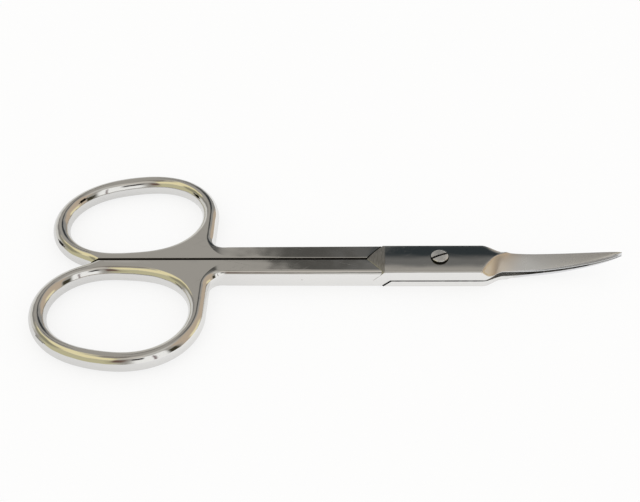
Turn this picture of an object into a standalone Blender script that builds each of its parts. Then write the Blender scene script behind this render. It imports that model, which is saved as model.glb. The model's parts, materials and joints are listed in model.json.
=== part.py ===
"""Curved nail scissors: two forged halves that cross in a lap joint on one slotted pivot screw.

Metres, +Z up. The scissors lie closed on the table at z = 0, with the rings at -X, the blades
pointing along +X and sweeping up, and the pivot axis upright. Both halves are drawn in one frame,
with the handle at -Y, the lap joint on top and the inner face of the blade below. The lower half
is the same drawing turned over about X, as the real pair comes from two nearly equal forgings.
"""

import math

import bmesh
import bpy
from mathutils import Vector

MM = 0.001

# Finger rings: an oval crest line, a little egg-shaped, in a rounded section
RING_BACK = 48.58 * MM  # from the pivot axis back to the ring's centre
RING_ASIDE = 10.1 * MM  # from the parting line out to the ring's centre
RING_RADIUS = 10.59 * MM
RING_OVAL = 1.51 * MM
RING_TILT = math.radians(-7.2)
RING_EGG = 0.09 * MM
RING_EGG_TILT = math.radians(46)
RING_WIDTH = 2.66 * MM
HANDLE_THICKNESS = 3.1 * MM
CREST_FLAT = 0.1 * MM  # the ground strip that is left along the ring's crest
RING_STEP = math.radians(6)
SPARE = 1.5 * MM  # how far stock runs past a face that is cut afterwards

# Web: the flat stretch where the ring's outer edge swells out to the parting line
WEB_SWELL = 1.5 * MM
WEB_SWELL_FROM = math.radians(126)
WEB_SWELL_TO = math.radians(100)
WEB_START = math.radians(78)  # where the drawing of the edge begins, in the stock past the parting line
NECK_FILLET = 2.6 * MM
NECK_STEPS = 7

# Shanks
PARTING_GAP = 0.26 * MM
PARTING_ROUND = 0.35 * MM  # the edge of the inner side along the parting line
PARTING_FLATS = (math.radians(25), math.radians(65))  # it is rounded as two flats, turned down this far
SHANK_SIDE_AT_NECK = 2.8 * MM  # from the parting line to the shank's side wall
BEVEL_WIDTH = 2.1 * MM
BEVEL_DROP = 0.09 * MM
OUTER_ROUND = 0.55 * MM  # the shank's long edge on the outer side, rounded for the hand
EDGE_ROUND = 0.07 * MM  # the same on the inner side, and the other edges that are only broken

# Lap joint: each half is cut down to one layer and widened over both shanks
LAP_WIDTH = 5.86 * MM
LAP_ROUND = 0.3 * MM  # the long edge of its outer face, on the cutting side
LAP_BACK = 8.45 * MM  # from the pivot axis back to the line where the arrow-shaped end begins
LAP_FRONT = 6.6 * MM  # from the pivot axis forward to where the shoulders start to draw in
ARROW_LENGTH = 3.0 * MM
ARROW_SPREAD = 0.8  # how far the arm that stops the handles runs forward for each millimetre outwards
STEP_SPREAD = 0.95  # the same for the other arm, a low step on the half's own shank
STEP_SLOPE = 1.0
STOP_SLOPE = 1.15  # how far the stop face under the arrow runs forward for each millimetre of depth
STOP_GAP = 0.25 * MM
LAP_SIDE_STEP = 0.1 * MM  # how far the lap stands out past the shank's side
PARTING_DROP = 0.33 * MM  # the two layers meet this far below the middle of the handles
LAYER_GAP = 0.05 * MM
UPPER_WALL = 1.56 * MM  # heights above the middle of the handles, at the lap's side walls
UPPER_CROWN = 0.3 * MM
LOWER_WALL = 1.52 * MM
LOWER_CROWN = 0.2 * MM
BELLY = 1.6 * MM  # the underside is ground flat at this depth, and the scissors lie on it

# Blades: ground faces that meet on a surface swept round the pivot axis, so they never bind
BLADE_TIP = 27.55 * MM
BLADE_ROOT = 9.8 * MM
BLADE_WIDTH = 3.0 * MM
BLADE_TAPER = 0.35
BLADE_FULLNESS = 0.55
TIP_WIDTH = 0.2 * MM
UPPER_SPINE = 1.42 * MM
LOWER_SPINE = 0.7 * MM
SPINE_THINNING = 0.65
SPINE_RUNOUT = 14.5 * MM  # where the back of the blade has run down from the lap
SWEEP_START = 10.2 * MM
SWEEP_RADIUS = 57.0 * MM
HOLLOW = 0.06 * MM
RELIEF = 0.22 * MM  # how far each inner face is cut back in front of the joint
RELIEF_START = 7.0 * MM
RELIEF_DEEPEST = 9.5 * MM
RELIEF_END = 16.0 * MM
BOW = 0.08 * MM  # how far each blade stands off there and beyond, down to nothing at the tip
EDGE_LAND = 0.1 * MM
BEVEL_AT_ROOT = 0.08 * MM
BEVEL_AT_TIP = 0.33 * MM
EDGE_SETBACK = 0.15 * MM
FACE_CROWN = 0.05 * MM
SHOULDER_STATIONS = 7
BLADE_STATIONS = 16
FACE_POINTS = 9
INNER_POINTS = 5

# Pivot screw
HEAD_DIAMETER = 2.6 * MM
HEAD_TOP = 2.35 * MM
HEAD_HEIGHT = 0.9 * MM
HEAD_DOME = 0.12 * MM
SLOT_WIDTH = 0.34 * MM
SLOT_DEPTH = 0.35 * MM
SLOT_TURN = math.radians(24)
SCREW_DIAMETER = 1.6 * MM
PEEN_DIAMETER = 2.1 * MM
PEEN_HEIGHT = 0.4 * MM
SCREW_CLEARANCE = 0.04 * MM  # all round the screw's shank and its peened end
RECESS_CLEARANCE = 0.1 * MM  # all round its head
ROUND_SIDES = 40

# Worked out from the sizes above
HALF_THICKNESS = HANDLE_THICKNESS / 2
HALF_RING = RING_WIDTH / 2
HALF_LAP = LAP_WIDTH / 2
ARROW_TIP = LAP_BACK + ARROW_LENGTH
RING_CENTRE = Vector((-RING_BACK, -RING_ASIDE))
SEAT_HEIGHT = HEAD_TOP - HEAD_HEIGHT


def ease(value, start, end):
    """0 before start, 1 after end, and a smooth S between them."""
    share = min(max((value - start) / (end - start), 0.0), 1.0)
    return share * share * (3 - 2 * share)


def mix(first, second, share):
    return first + (second - first) * share


def crest_radius(angle):
    """From the ring's centre to its crest line: a circle with two waves of change and three."""
    oval = RING_OVAL * math.cos(2 * (angle - RING_TILT))
    egg = RING_EGG * math.cos(3 * (angle - RING_EGG_TILT))
    return RING_RADIUS + oval + egg


def ring_point(angle, outward):
    """A point of the plan, this far outside the ring's crest line."""
    reach = crest_radius(angle) + outward
    return RING_CENTRE + Vector((reach * math.cos(angle), reach * math.sin(angle)))


def ring_angles(first, last):
    steps = round((last - first) / RING_STEP)
    return [mix(first, last, step / steps) for step in range(steps + 1)]


def both_sides(inner, outer):
    """A whole edge, from the flat of the inner side, below, to the flat of the outer side, above."""
    return [(inset, -height) for inset, height in reversed(inner[1:])] + outer


def round_profile():
    """(inset, height) round the ring's section, each half of it a quarter of an ellipse."""
    inset = HALF_RING - CREST_FLAT / 2
    turns = [math.radians(18 * step) for step in range(6)]
    quarter = [(inset * (1 - math.cos(turn)), HALF_THICKNESS * math.sin(turn)) for turn in turns]
    return both_sides(quarter, quarter)


def bar_side(rounding):
    """The shank's upright side, its rounded edge and the shallow bevel that rises to the flat strip."""
    wall = HALF_THICKNESS - BEVEL_DROP - rounding
    points = [(0.0, 0.0)]
    for step in range(4):
        turn = math.radians(30 * step)
        points.append((rounding * (1 - math.cos(turn)), wall + rounding * math.sin(turn)))
    return points + [(BEVEL_WIDTH, HALF_THICKNESS)]


def bar_profile():
    return both_sides(bar_side(EDGE_ROUND), bar_side(OUTER_ROUND))


def wall_profile():
    return [(0.0, HALF_THICKNESS * step / 5) for step in range(-5, 6)]


def blend_profiles(first, second, share):
    return [(mix(a[0], b[0], share), mix(a[1], b[1], share)) for a, b in zip(first, second)]


def inward_normals(points):
    """For a plan that runs anticlockwise, the unit directions that point into it."""
    normals = []
    for index, _ in enumerate(points):
        along = points[(index + 1) % len(points)] - points[index - 1]
        normals.append(Vector((-along.y, along.x)).normalized())
    return normals


def outer_plan():
    """The handle's outer edge, anticlockwise: round the ring, up the neck and along the shank."""
    forward = ring_angles(-math.pi / 4, math.pi / 4)
    rightmost = max(forward, key=lambda angle: ring_point(angle, HALF_RING).x)
    plan = []
    for angle in ring_angles(WEB_START, rightmost + 2 * math.pi):
        swell = WEB_SWELL * ease(angle, WEB_SWELL_FROM, WEB_SWELL_TO)
        plan.append((ring_point(angle, HALF_RING + swell), round_profile()))
    neck = plan[-1][0].x
    centre = Vector((neck + NECK_FILLET, -SHANK_SIDE_AT_NECK - NECK_FILLET))
    for step in range(NECK_STEPS + 1):
        turn = math.pi - math.pi / 2 * step / NECK_STEPS
        point = centre + NECK_FILLET * Vector((math.cos(turn), math.sin(turn)))
        share = ease(point.x, neck, centre.x)
        plan.append((point, blend_profiles(round_profile(), bar_profile(), share)))
    end = -LAP_BACK / 2
    lap_side = HALF_LAP - LAP_SIDE_STEP
    for along in (-ARROW_TIP, end):
        aside = mix(SHANK_SIDE_AT_NECK, lap_side, (along - centre.x) / (-LAP_BACK - centre.x))
        plan.append((Vector((along, -aside)), bar_profile()))
    plan.append((Vector((end, SPARE)), wall_profile()))
    points = [point for point, _ in plan]
    normals = inward_normals(points)
    normals[-2] = Vector((0.0, 1.0))
    normals[-1] = Vector((0.0, -1.0))
    return [(point, normal, profile) for (point, profile), normal in zip(plan, normals)]


def finger_hole_plan():
    """The edge of the finger hole, anticlockwise, with its material outside."""
    angles = ring_angles(0.0, 2 * math.pi)[:-1]
    points = [ring_point(angle, -HALF_RING) for angle in angles]
    return [(point, -normal, round_profile()) for point, normal in zip(points, inward_normals(points))]


def skin_edge(bm, plan):
    """Faces round one edge of the handle, from its lower flat to its upper flat. Returns both rims."""
    rows = []
    for level in range(len(plan[0][2])):
        row = []
        for point, normal, profile in plan:
            inset, height = profile[level]
            flat = point + normal * inset
            row.append(bm.verts.new((flat.x, flat.y, height)))
        rows.append(row)
    count = len(plan)
    for below, above in zip(rows, rows[1:]):
        for index in range(count):
            after = (index + 1) % count
            bm.faces.new((below[index], below[after], above[after], above[index]))
    return rows[0], rows[-1]


def rim_edges(bm, rim):
    return [bm.edges.get((rim[index - 1], rim[index])) for index in range(len(rim))]


def cut_away(bm, point, normal):
    """Removes what lies on the normal's side of a plane, and closes the cut."""
    everything = bm.verts[:] + bm.edges[:] + bm.faces[:]
    cut = bmesh.ops.bisect_plane(
        bm, geom=everything, dist=1e-8, plane_co=point, plane_no=normal, clear_outer=True
    )
    edges = [item for item in cut["geom_cut"] if isinstance(item, bmesh.types.BMEdge)]
    bmesh.ops.edgeloop_fill(bm, edges=edges)


def handle_mesh():
    """Ring, web and shank in one closed body, up to the stop face under the lap."""
    bm = bmesh.new()
    outer = skin_edge(bm, outer_plan())
    hole = skin_edge(bm, finger_hole_plan())
    for outer_rim, hole_rim in zip(outer, hole):
        edges = rim_edges(bm, outer_rim) + rim_edges(bm, hole_rim)
        bmesh.ops.triangle_fill(bm, edges=edges, use_beauty=True)
    bmesh.ops.recalc_face_normals(bm, faces=bm.faces[:])
    cut_away(bm, (0.0, -PARTING_GAP / 2, 0.0), (0.0, 1.0, 0.0))
    middle = Vector((0.0, -PARTING_GAP / 2 - PARTING_ROUND, PARTING_ROUND - HALF_THICKNESS))
    for turn in PARTING_FLATS:
        outward = Vector((0.0, math.cos(turn), -math.sin(turn)))
        cut_away(bm, middle + PARTING_ROUND * outward, outward)
    cut_away(bm, (-ARROW_TIP, 0.0, -HALF_THICKNESS), (1.0, ARROW_SPREAD, -STOP_SLOPE))
    bmesh.ops.recalc_face_normals(bm, faces=bm.faces[:])
    return bm


def sweep(x, y):
    """How far the meeting surface of the blades has risen at this distance from the pivot axis."""
    beyond = max(math.hypot(x, y) - SWEEP_START, 0.0)
    return beyond * beyond / (2 * SWEEP_RADIUS)


def half_width(x):
    """From the middle to the back of the blade, or to the lap's side wall."""
    along = min(max((x - BLADE_ROOT) / (BLADE_TIP - BLADE_ROOT), 0.0), 1.0)
    blade = BLADE_WIDTH / 2 * (1 - BLADE_TAPER * along) * (1 - along**3) ** BLADE_FULLNESS
    return mix(HALF_LAP, max(blade, TIP_WIDTH / 2), ease(x, LAP_FRONT, BLADE_ROOT))


class Half:
    """What differs between the two halves. turned is -1 for the one that is drawn upside down."""

    def __init__(self, name, turned, wall, crown, ground, spine):
        self.name = name
        self.turned = turned
        self.wall = wall
        self.crown = crown
        self.ground = ground
        self.spine = spine

    def inner_height(self, x, y):
        return self.turned * (sweep(x, y) - PARTING_DROP) + LAYER_GAP / 2

    def relief(self, x):
        """How far the inner face is cut back, so that closed blades press together at the tip alone."""
        cut = RELIEF * ease(x, RELIEF_START, RELIEF_DEEPEST) * ease(x, RELIEF_END, RELIEF_DEEPEST)
        along = min(max((x - RELIEF_DEEPEST) / (BLADE_TIP - RELIEF_DEEPEST), 0.0), 1.0)
        return cut + BOW * ease(x, RELIEF_START, RELIEF_DEEPEST) * (1 - along**2)

    def lap_height(self, x, share):
        """The outer face of the lap: a crown across it, ground flat, falling off behind the fold."""
        crowned = min(self.wall + self.crown * 4 * share * (1 - share), self.ground)
        middle = min(self.wall + self.crown, self.ground)
        fall = (middle - HALF_THICKNESS) / ARROW_LENGTH
        return crowned + fall * min(x + LAP_BACK, 0.0)

    def blade_height(self, x, share):
        """The outer face of the blade, from above its cutting edge to its back."""
        along = (x - BLADE_ROOT) / (BLADE_TIP - BLADE_ROOT)
        bevel = self.bevel(x)
        spine = self.spine * (1 - SPINE_THINNING * max(along, 0.0) ** 2)
        rise = mix(EDGE_LAND + bevel, spine, share) + FACE_CROWN * 4 * share * (1 - share)
        return self.inner_height(max(x, BLADE_ROOT), 0.0) + rise

    def bevel(self, x):
        return mix(BEVEL_AT_ROOT, BEVEL_AT_TIP, ease(x, BLADE_ROOT, BLADE_TIP)) * min(
            1.0, 2 * half_width(x) / BLADE_WIDTH + 0.4
        )

    def section(self, x):
        """The outline across the lap or blade at x: inner face, back, outer face, cutting edge."""
        bladed = ease(x, LAP_FRONT, BLADE_ROOT)
        along = min(max((x - BLADE_ROOT) / (BLADE_TIP - BLADE_ROOT), 0.0), 1.0)
        back = half_width(x)
        edge = -back + EDGE_SETBACK * bladed * (1 - along**2)
        hollow = HOLLOW * bladed * (1 - along)
        points = []
        for step in range(INNER_POINTS):
            share = step / (INNER_POINTS - 1)
            y = mix(edge, back, share)
            cut = self.relief(x) + hollow * 4 * share * (1 - share)
            points.append((x, y, self.inner_height(x, y) + cut))
        shoulder = min(mix(LAP_ROUND, self.bevel(x), bladed), (back - edge) / 3)
        spine_round = min(EDGE_ROUND, back / 3)
        spine_bladed = ease(x, LAP_FRONT, SPINE_RUNOUT)
        face = []
        for step in range(FACE_POINTS):
            share = 1 - step / (FACE_POINTS - 1)
            y = mix(edge + shoulder, back - spine_round, share)
            leaning = mix(bladed, spine_bladed, share)
            face.append((x, y, mix(self.lap_height(x, share), self.blade_height(x, share), leaning)))
        points.append((x, back, face[0][2] - spine_round))
        points += face
        crest = face[-1][2]
        foot = mix(crest - LAP_ROUND, points[0][2] + EDGE_LAND, bladed)
        bulge = (1 - bladed) * (math.sqrt(0.5) - 0.5)  # from a chord on the blade to an arc on the lap
        points.append((x, edge + shoulder * (0.5 - bulge), mix(foot, crest, 0.5 + bulge)))
        points.append((x, edge, foot))
        return points


def lap_and_blade_mesh(half):
    """A loft of cross-sections from behind the arrow to the tip, with the arrow cut at its back end."""
    stations = [-ARROW_TIP - SPARE, -LAP_BACK, -LAP_BACK / 2, 0.0, LAP_FRONT / 2]
    for step in range(SHOULDER_STATIONS):
        stations.append(mix(LAP_FRONT, BLADE_ROOT, step / SHOULDER_STATIONS))
    for step in range(BLADE_STATIONS + 1):
        stations.append(mix(BLADE_ROOT, BLADE_TIP, math.sin(math.pi / 2 * step / BLADE_STATIONS)))
    bm = bmesh.new()
    rings = [[bm.verts.new(point) for point in half.section(x)] for x in stations]
    for near, far in zip(rings, rings[1:]):
        for index in range(len(near)):
            bm.faces.new((near[index - 1], near[index], far[index], far[index - 1]))
    bm.faces.new(rings[0])
    bm.faces.new(rings[-1])
    bmesh.ops.recalc_face_normals(bm, faces=bm.faces[:])
    tip = Vector((-ARROW_TIP, 0.0, HALF_THICKNESS))
    cut_away(bm, tip + Vector((STOP_GAP, 0.0, 0.0)), (-1.0, -STEP_SPREAD, STEP_SLOPE))
    cut_away(bm, tip + Vector((STOP_GAP, 0.0, 0.0)), (-1.0, ARROW_SPREAD, -STOP_SLOPE))
    bmesh.ops.recalc_face_normals(bm, faces=bm.faces[:])
    return bm


def turned_mesh(profile):
    """A solid of revolution about Z, from (radius, height) points that start and end on the axis."""
    bm = bmesh.new()
    chain = [bm.verts.new((radius, 0.0, height)) for radius, height in profile]
    edges = [bm.edges.new(pair) for pair in zip(chain, chain[1:])]
    bmesh.ops.spin(
        bm,
        geom=chain + edges,
        axis=(0.0, 0.0, 1.0),
        cent=(0.0, 0.0, 0.0),
        steps=ROUND_SIDES,
        angle=2 * math.pi,
        use_merge=True,
    )
    bmesh.ops.remove_doubles(bm, verts=bm.verts[:], dist=1e-7)
    bmesh.ops.recalc_face_normals(bm, faces=bm.faces[:])
    return bm


def screw_profile():
    radius = HEAD_DIAMETER / 2
    shank = SCREW_DIAMETER / 2
    peen = PEEN_DIAMETER / 2
    base = -BELLY + LAYER_GAP / 2
    dome = [(radius * share, HEAD_TOP - HEAD_DOME * share**2) for share in (0.0, 0.35, 0.6, 0.8, 0.93)]
    return dome + [
        (radius, HEAD_TOP - HEAD_DOME * 1.6),
        (radius, SEAT_HEIGHT),
        (shank, SEAT_HEIGHT),
        (shank, base + PEEN_HEIGHT),
        (peen, base),
        (0.0, base),
    ]


def recessed_hole():
    """Right through the upper half: a recess that takes the screw's head, then the bore."""
    top = HANDLE_THICKNESS
    recess = HEAD_DIAMETER / 2 + RECESS_CLEARANCE
    bore = SCREW_DIAMETER / 2 + SCREW_CLEARANCE
    seat = SEAT_HEIGHT - LAYER_GAP
    return [(0.0, top), (recess, top), (recess, seat), (bore, seat), (bore, -top), (0.0, -top)]


def flared_hole():
    """Right through the lower half: the bore, which opens downwards for the peened end."""
    top = HANDLE_THICKNESS
    bore = SCREW_DIAMETER / 2 + SCREW_CLEARANCE
    flare = PEEN_DIAMETER / 2 + SCREW_CLEARANCE
    ends = [(flare, -BELLY), (flare, -top), (0.0, -top)]
    return [(0.0, top), (bore, top), (bore, PEEN_HEIGHT - BELLY)] + ends


def steel(name, colour, roughness):
    material = bpy.data.materials.new(name)
    material.use_nodes = True
    shader = material.node_tree.nodes["Principled BSDF"]
    shader.inputs["Base Color"].default_value = (*colour, 1.0)
    shader.inputs["Metallic"].default_value = 1.0
    shader.inputs["Roughness"].default_value = roughness
    return material


def add_object(name, bm, carrier, turned=1):
    mesh = bpy.data.meshes.new(name)
    bm.to_mesh(mesh)
    bm.free()
    mesh.shade_smooth()
    mesh.set_sharp_from_angle(angle=math.radians(30))
    body = bpy.data.objects.new(name, mesh)
    bpy.context.scene.collection.objects.link(body)
    body.parent = carrier
    if turned < 0:
        body.rotation_euler.x = math.pi
    return body


def as_tool(body):
    body.hide_render = True
    body.display_type = "WIRE"
    return body


def combine(body, tool, operation):
    modifier = body.modifiers.new(tool.name, "BOOLEAN")
    modifier.object = as_tool(tool)
    modifier.operation = operation
    modifier.solver = "EXACT"


def add_half(half, material, hole_profile, carrier):
    body = add_object(half.name, handle_mesh(), carrier, half.turned)
    body.data.materials.append(material)
    lap = add_object(f"{half.name}.lap", lap_and_blade_mesh(half), carrier, half.turned)
    combine(body, lap, "UNION")
    hole = add_object(f"{half.name}.hole", turned_mesh(hole_profile), carrier)
    combine(body, hole, "DIFFERENCE")
    return body


def add_screw(material, carrier):
    body = add_object("pivot_screw", turned_mesh(screw_profile()), carrier)
    body.data.materials.append(material)
    bm = bmesh.new()
    bmesh.ops.create_cube(bm, size=1.0)
    size = Vector((2 * HEAD_DIAMETER, SLOT_WIDTH, 2 * SLOT_DEPTH))
    bmesh.ops.scale(bm, vec=size, verts=bm.verts[:])
    slot = add_object("pivot_screw.slot", bm, carrier)
    slot.location.z = HEAD_TOP
    slot.rotation_euler.z = SLOT_TURN
    combine(body, slot, "DIFFERENCE")
    return body


def clear_scene():
    for body in list(bpy.data.objects):
        bpy.data.objects.remove(body)


def main():
    clear_scene()
    tail = max(-ring_point(angle, HALF_RING).x for angle in ring_angles(0.0, 2 * math.pi))
    pivot = bpy.data.objects.new("pivot_axis", None)
    pivot.location = ((tail - BLADE_TIP) / 2, 0.0, BELLY)
    bpy.context.scene.collection.objects.link(pivot)
    upper = Half("upper_half", 1, UPPER_WALL, UPPER_CROWN, UPPER_WALL + UPPER_CROWN, UPPER_SPINE)
    lower = Half("lower_half", -1, LOWER_WALL, LOWER_CROWN, BELLY, LOWER_SPINE)
    add_half(lower, steel("polished_steel_lower", (0.74, 0.735, 0.72), 0.13), flared_hole(), pivot)
    add_half(upper, steel("polished_steel_upper", (0.75, 0.745, 0.73), 0.12), recessed_hole(), pivot)
    add_screw(steel("screw_steel", (0.66, 0.66, 0.65), 0.22), pivot)


main()
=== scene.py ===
# %% [markdown]
# Curved nail scissors, dressed for the camera. The packed model is the fixed frame: it says where each
# half and the screw lie and which body carries them. Everything below is drawn in millimetres from the
# pivot, a handy unit for such a small thing, and then set into that frame, which is in metres.

import json
import math

import bmesh
import bpy
from mathutils import Matrix, Vector


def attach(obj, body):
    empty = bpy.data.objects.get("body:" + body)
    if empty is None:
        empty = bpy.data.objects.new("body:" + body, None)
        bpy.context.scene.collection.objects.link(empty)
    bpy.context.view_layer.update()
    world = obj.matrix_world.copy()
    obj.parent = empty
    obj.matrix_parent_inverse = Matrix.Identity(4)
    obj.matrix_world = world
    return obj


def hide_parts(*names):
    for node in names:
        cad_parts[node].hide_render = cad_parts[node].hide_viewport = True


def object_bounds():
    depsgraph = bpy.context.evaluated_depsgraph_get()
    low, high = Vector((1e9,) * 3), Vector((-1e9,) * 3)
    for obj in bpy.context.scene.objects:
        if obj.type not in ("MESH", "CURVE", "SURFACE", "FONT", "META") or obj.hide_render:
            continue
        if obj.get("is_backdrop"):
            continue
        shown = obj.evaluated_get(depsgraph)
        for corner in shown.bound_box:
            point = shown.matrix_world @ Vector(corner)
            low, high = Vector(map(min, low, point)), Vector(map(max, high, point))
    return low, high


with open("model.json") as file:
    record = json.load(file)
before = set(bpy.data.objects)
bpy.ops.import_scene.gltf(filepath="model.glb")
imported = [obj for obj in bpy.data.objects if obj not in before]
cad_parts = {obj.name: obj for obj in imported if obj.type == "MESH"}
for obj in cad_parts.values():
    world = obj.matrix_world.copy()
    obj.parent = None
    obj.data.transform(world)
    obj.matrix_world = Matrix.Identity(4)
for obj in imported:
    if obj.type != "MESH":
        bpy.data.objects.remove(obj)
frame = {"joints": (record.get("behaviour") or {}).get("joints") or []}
cad_low, cad_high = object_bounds()
MM = 0.001
pivot = Vector(frame["joints"][0]["pos_m"])
print("pivot axis at", [round(value / MM, 3) for value in pivot], "mm")

# %% [markdown]
# The pair is two forgings and a screw. Their sizes repeat the driving dimensions of the solids, in
# millimetres, measured from the pivot axis and from the middle of the handles' thickness. The meshes
# here are finer than the solids, because polished steel shows every facet in its reflections.

# %% Sizes of the handles
RING_BACK = 48.565  # a hair nearer than in the solids, whose coarser facets reach less far
RING_ASIDE = 10.098
RING_RADIUS = 10.59
RING_OVAL = 1.51
RING_TILT = math.radians(-7.2)
RING_EGG = 0.09
RING_EGG_TILT = math.radians(46)
HALF_RING = 1.33
HALF_THICKNESS = 1.55
CREST_FLAT = 0.1
WEB_SWELL = 1.5
WEB_SWELL_FROM = math.radians(126)
WEB_SWELL_TO = math.radians(100)
WEB_START = math.radians(78)
NECK_FILLET = 2.6
PARTING_GAP = 0.26
PARTING_ROUND = 0.35
PARTING_BREAK = 0.06
SHANK_SIDE_AT_NECK = 2.8
BEVEL_WIDTH = 2.1
BEVEL_DROP = 0.09
OUTER_ROUND = 0.7
EDGE_ROUND = 0.07
SPARE = 1.5  # how far stock runs past a face that is cut afterwards
print("ring bar:", 2 * HALF_RING, "mm wide and", 2 * HALF_THICKNESS, "mm thick")

# %% [markdown]
# In front of its shank each half is cut down to one layer, so that the two lap round the screw, and a
# blade goes on from there. These sizes could be measured on the packed solids, but written out they say
# what each cut is for: the stop behind the lap, and the hollow and relief that let only the edges touch.

# %% Sizes of the lap joint and the blades
HALF_LAP = 2.93
LAP_ROUND = 0.3
LAP_SIDE_STEP = 0.03
LAP_BACK = 8.45
LAP_FRONT = 6.6
ARROW_LENGTH = 3.0
ARROW_TIP = LAP_BACK + ARROW_LENGTH
ARROW_SPREAD = 0.8
STEP_SPREAD = 0.95
STEP_SLOPE = 1.0
STOP_SLOPE = 1.15
STOP_GAP = 0.42
STEP_AHEAD = 0.25
PARTING_DROP = 0.33
LAYER_GAP = 0.05
BELLY = 1.6
BLADE_ROOT = 9.8
BLADE_TIP = 27.55
BLADE_WIDTH = 3.0
BLADE_TAPER = 0.35
BLADE_FULLNESS = 0.55
TIP_WIDTH = 0.2
SPINE_THINNING = 0.65
SPINE_RUNOUT = 14.5
SWEEP_START = 10.2
SWEEP_RADIUS = 57.0
HOLLOW = 0.06
RELIEF = 0.22
RELIEF_START = 7.0
RELIEF_DEEPEST = 9.5
RELIEF_END = 16.0
BOW = 0.08
EDGE_LAND = 0.1
BEVEL_AT_ROOT = 0.08
BEVEL_AT_TIP = 0.33
EDGE_SETBACK = 0.15
SEAM_BREAK = 0.1  # the long inner corners are broken this much, which draws the seam as a fine groove
KEEN = 0.004  # what is left of that break along a cutting edge
FACE_CROWN = 0.05
RUNOUT_EDGE = 8.9  # the ground face starts to curve up into the lap here at the cutting edge,
RUNOUT_BACK = 11.3  # and here at the back, so that the ridge between them runs aslant
RUNOUT_CURVE = 0.27  # millimetres up for each square millimetre along
RUNOUT_ROUND = 0.06
print("lap:", round(LAP_BACK + LAP_FRONT, 2), "mm long; blade:", round(BLADE_TIP - BLADE_ROOT, 2), "mm")

# %% [markdown]
# Two small helpers serve every drawing rule: mixing two numbers by a share, and the smooth S-shaped
# share itself. A ring, for example, swells out into the web along such an S, so that no line shows.

# %% Helpers for numbers
def mix(first, second, share):
    return first + (second - first) * share


def ease(value, start, end):
    """0 before start, 1 after end, and a smooth S between them."""
    share = min(max((value - start) / (end - start), 0.0), 1.0)
    return share * share * (3 - 2 * share)


halfway = mix(WEB_SWELL_FROM, WEB_SWELL_TO, 0.5)
print("share of the web's swell, half way:", round(ease(halfway, WEB_SWELL_FROM, WEB_SWELL_TO), 2))

# %% [markdown]
# A handle is a flat forging whose edge is rounded along the ring and turns into a shallow bevel along
# the shank. It could be swept along a curve, but ring, web and shank share one flat top, so it is drawn
# as two closed edges, outside and round the finger hole, with the flats filled in between them.

# %% Plan of the finger ring
RING_STEP = math.radians(2)
RING_CENTRE = Vector((-RING_BACK, -RING_ASIDE))


def ring_point(angle, outward):
    """A point of the plan, this far outside the crest line, which is an oval with a trace of an egg."""
    oval = RING_OVAL * math.cos(2 * (angle - RING_TILT))
    egg = RING_EGG * math.cos(3 * (angle - RING_EGG_TILT))
    reach = RING_RADIUS + oval + egg + outward
    return RING_CENTRE + Vector((reach * math.cos(angle), reach * math.sin(angle)))


def ring_angles(first, last):
    steps = round((last - first) / RING_STEP)
    return [mix(first, last, step / steps) for step in range(steps + 1)]


ring_turn = ring_angles(0.0, 2 * math.pi)
print("ring, outside:", round(max(ring_point(a, HALF_RING).x for a in ring_turn)
                              - min(ring_point(a, HALF_RING).x for a in ring_turn), 2), "mm long")

# %% [markdown]
# The edge of a handle changes as it runs: round along the ring, where fingers rub, and an upright side
# with a shallow bevel along the shank. Each section is a list of points up the edge, and all lists are
# equally long, so that one section can turn into the next along the neck, as it does on the forging.

# %% Edge profiles
WALL_SHARES = (0.0, 0.3, 0.6, 0.97)
ARC_STEPS = 9
BEVEL_SHARES = (0.02, 0.25, 0.75, 0.985, 1.0)
ROUND_STEPS = len(WALL_SHARES) + ARC_STEPS + len(BEVEL_SHARES)
RIM = 0.025  # a narrow band beside each crest line, which keeps the flats truly flat in reflections


def both_sides(inner, outer):
    """A whole edge, from the flat of the inner side, below, to the flat of the outer side, above."""
    return [(inset, -height) for inset, height in reversed(inner[1:])] + outer


def round_profile():
    """(inset, height) round the ring's section: each half of it is a quarter of an ellipse."""
    inset = HALF_RING - CREST_FLAT / 2
    quarter = []
    for step in range(ROUND_STEPS + 1):
        turn = math.pi / 2 * step / ROUND_STEPS
        quarter.append((inset * (1 - math.cos(turn)), HALF_THICKNESS * math.sin(turn)))
    quarter.append((inset + RIM, HALF_THICKNESS))
    return both_sides(quarter, quarter)


def bar_side(rounding):
    """The shank's upright side, an arc that meets the shallow bevel smoothly, and the bevel itself."""
    lean = math.atan(BEVEL_DROP / BEVEL_WIDTH)
    meet = rounding * (1 - math.sin(lean))
    low = HALF_THICKNESS - (BEVEL_WIDTH - meet) * math.tan(lean)
    wall = low - rounding * math.cos(lean)
    points = [(0.0, wall * share) for share in WALL_SHARES]
    for step in range(ARC_STEPS + 1):
        turn = (math.pi / 2 - lean) * step / ARC_STEPS
        points.append((rounding * (1 - math.cos(turn)), wall + rounding * math.sin(turn)))
    for share in BEVEL_SHARES:
        points.append((mix(meet, BEVEL_WIDTH, share), mix(low, HALF_THICKNESS, share)))
    return points + [(BEVEL_WIDTH + RIM, HALF_THICKNESS)]


def bar_profile():
    return both_sides(bar_side(EDGE_ROUND), bar_side(OUTER_ROUND))


def wall_profile():
    levels = ROUND_STEPS + 1
    return [(0.0, HALF_THICKNESS * level / levels) for level in range(-levels, levels + 1)]


print("points up each edge:", len(round_profile()), len(bar_profile()), len(wall_profile()))

# %% [markdown]
# From above, the outer edge is one closed line: round the ring, up the neck in a fillet and along the
# shank. A plain plate with a bevel modifier would be rounded alike everywhere, so each point of the line
# carries a section of its own instead, and the direction that points into the steel there.

# %% Outlines of a handle
NECK_STEPS = 24


def inward_normals(points):
    """For a plan that runs anticlockwise, the unit directions that point into it."""
    normals = []
    for index, _ in enumerate(points):
        along = points[(index + 1) % len(points)] - points[index - 1]
        normals.append(Vector((-along.y, along.x)).normalized())
    return normals


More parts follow.
